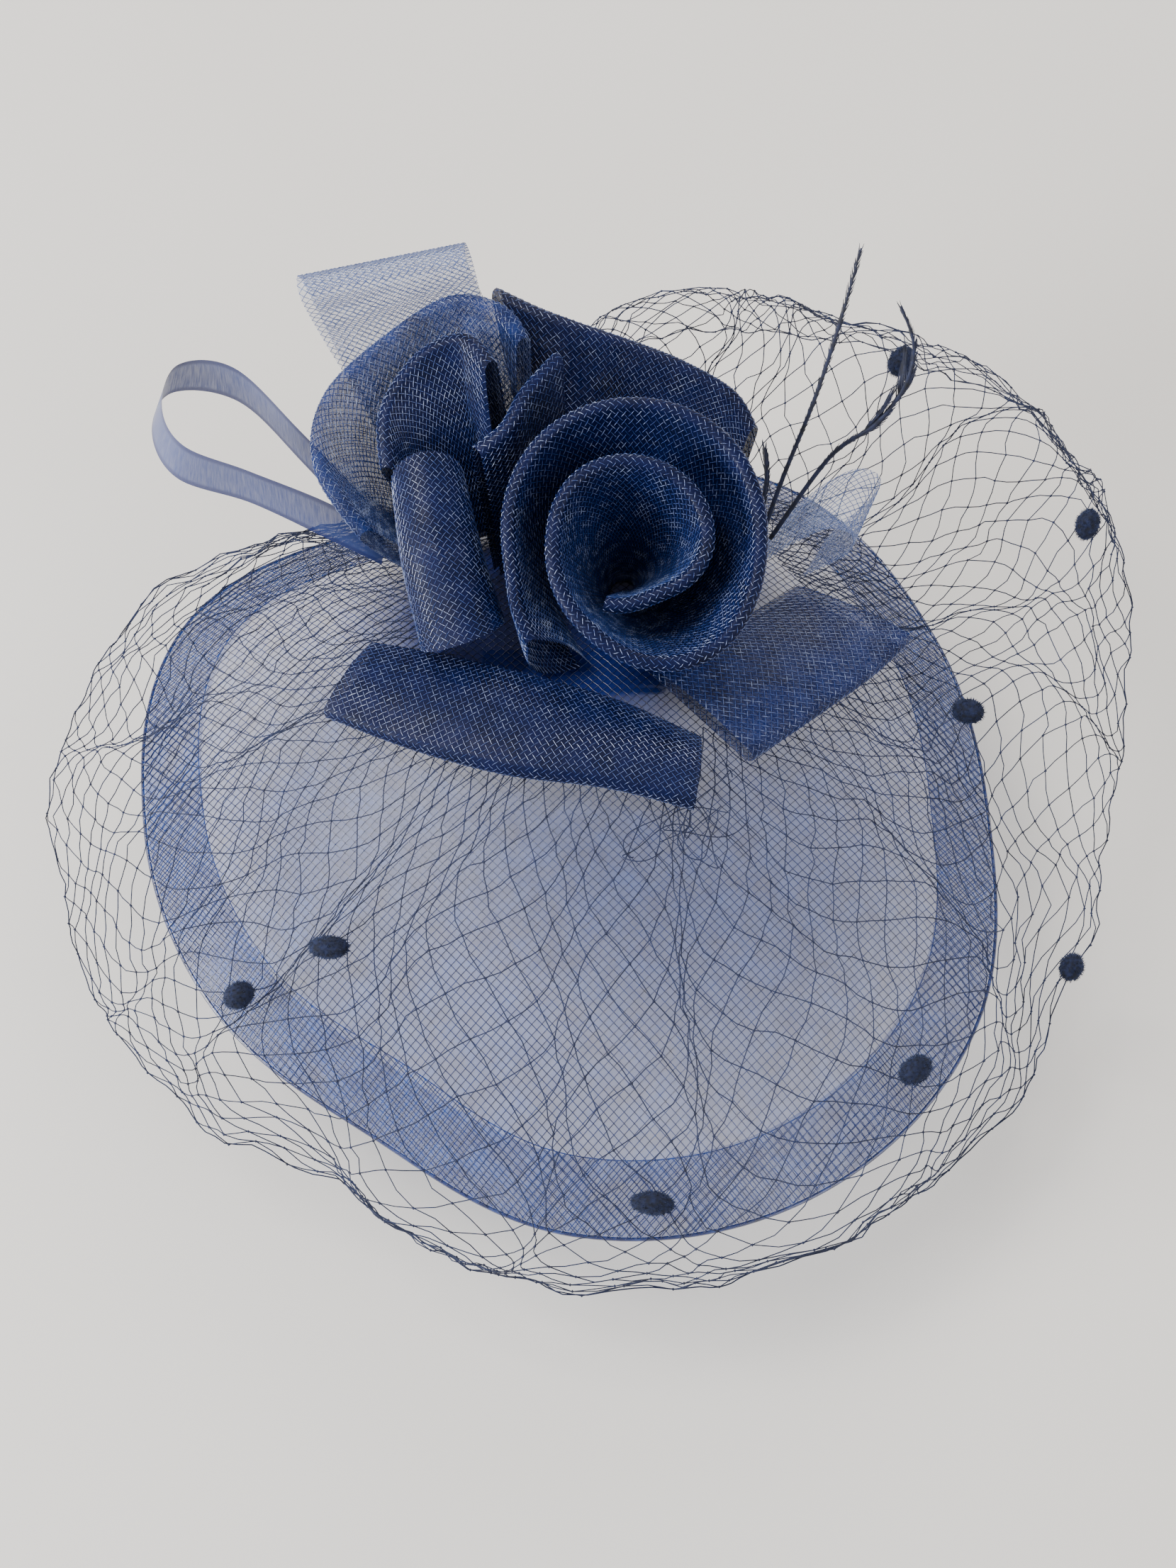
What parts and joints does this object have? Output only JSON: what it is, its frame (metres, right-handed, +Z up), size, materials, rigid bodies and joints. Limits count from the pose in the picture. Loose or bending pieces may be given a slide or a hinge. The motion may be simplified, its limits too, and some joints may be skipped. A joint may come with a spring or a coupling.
{
  "type": "fascinator hat",
  "caption": "Sheer domed crinoline disc hat with a coiled rose, looped petals, ribbon loops, trimmed feathers and a dotted net veil, worn on a hidden hair clip.",
  "frame": {"origin": "middle of the slot of the hair clip under the crown of the brim, where the hat sits on the head", "axes": "+Z up through the crown of the brim, +Y the way the wearer faces, +X to the wearer's right"},
  "size_m": [0.2814, 0.2555, 0.1281],
  "materials": {
    "crinoline": "sheer woven nylon mesh, glossy strands",
    "organza": "sheer ribbon with dense woven edges",
    "feather": "soft matt feather",
    "net": "matt net",
    "chenille": "deep pile, matt",
    "clip_steel": "satin"
  },
  "bodies": {
    "root": {"brim": "crinoline", "rose_heart": "crinoline", "rose_outer": "crinoline", "left_fold": "crinoline", "petal_left_outer": "crinoline", "petal_left_inner": "crinoline", "petal_middle": "crinoline", "petal_right": "crinoline", "lower_sash": "crinoline", "right_wing": "crinoline", "crin_loop_top": "crinoline", "loop_right": "crinoline", "ribbon_loop_left": "organza", "feather_long": "feather", "feather_split": "feather", "feather_stub": "feather", "veil": "net", "veil_dot_01": "chenille", "veil_dot_02": "chenille", "veil_dot_03": "chenille", "veil_dot_04": "chenille", "veil_dot_05": "chenille", "veil_dot_06": "chenille", "veil_dot_07": "chenille", "veil_dot_08": "chenille", "hair_clip": "clip_steel"}
  },
  "joints": []
}
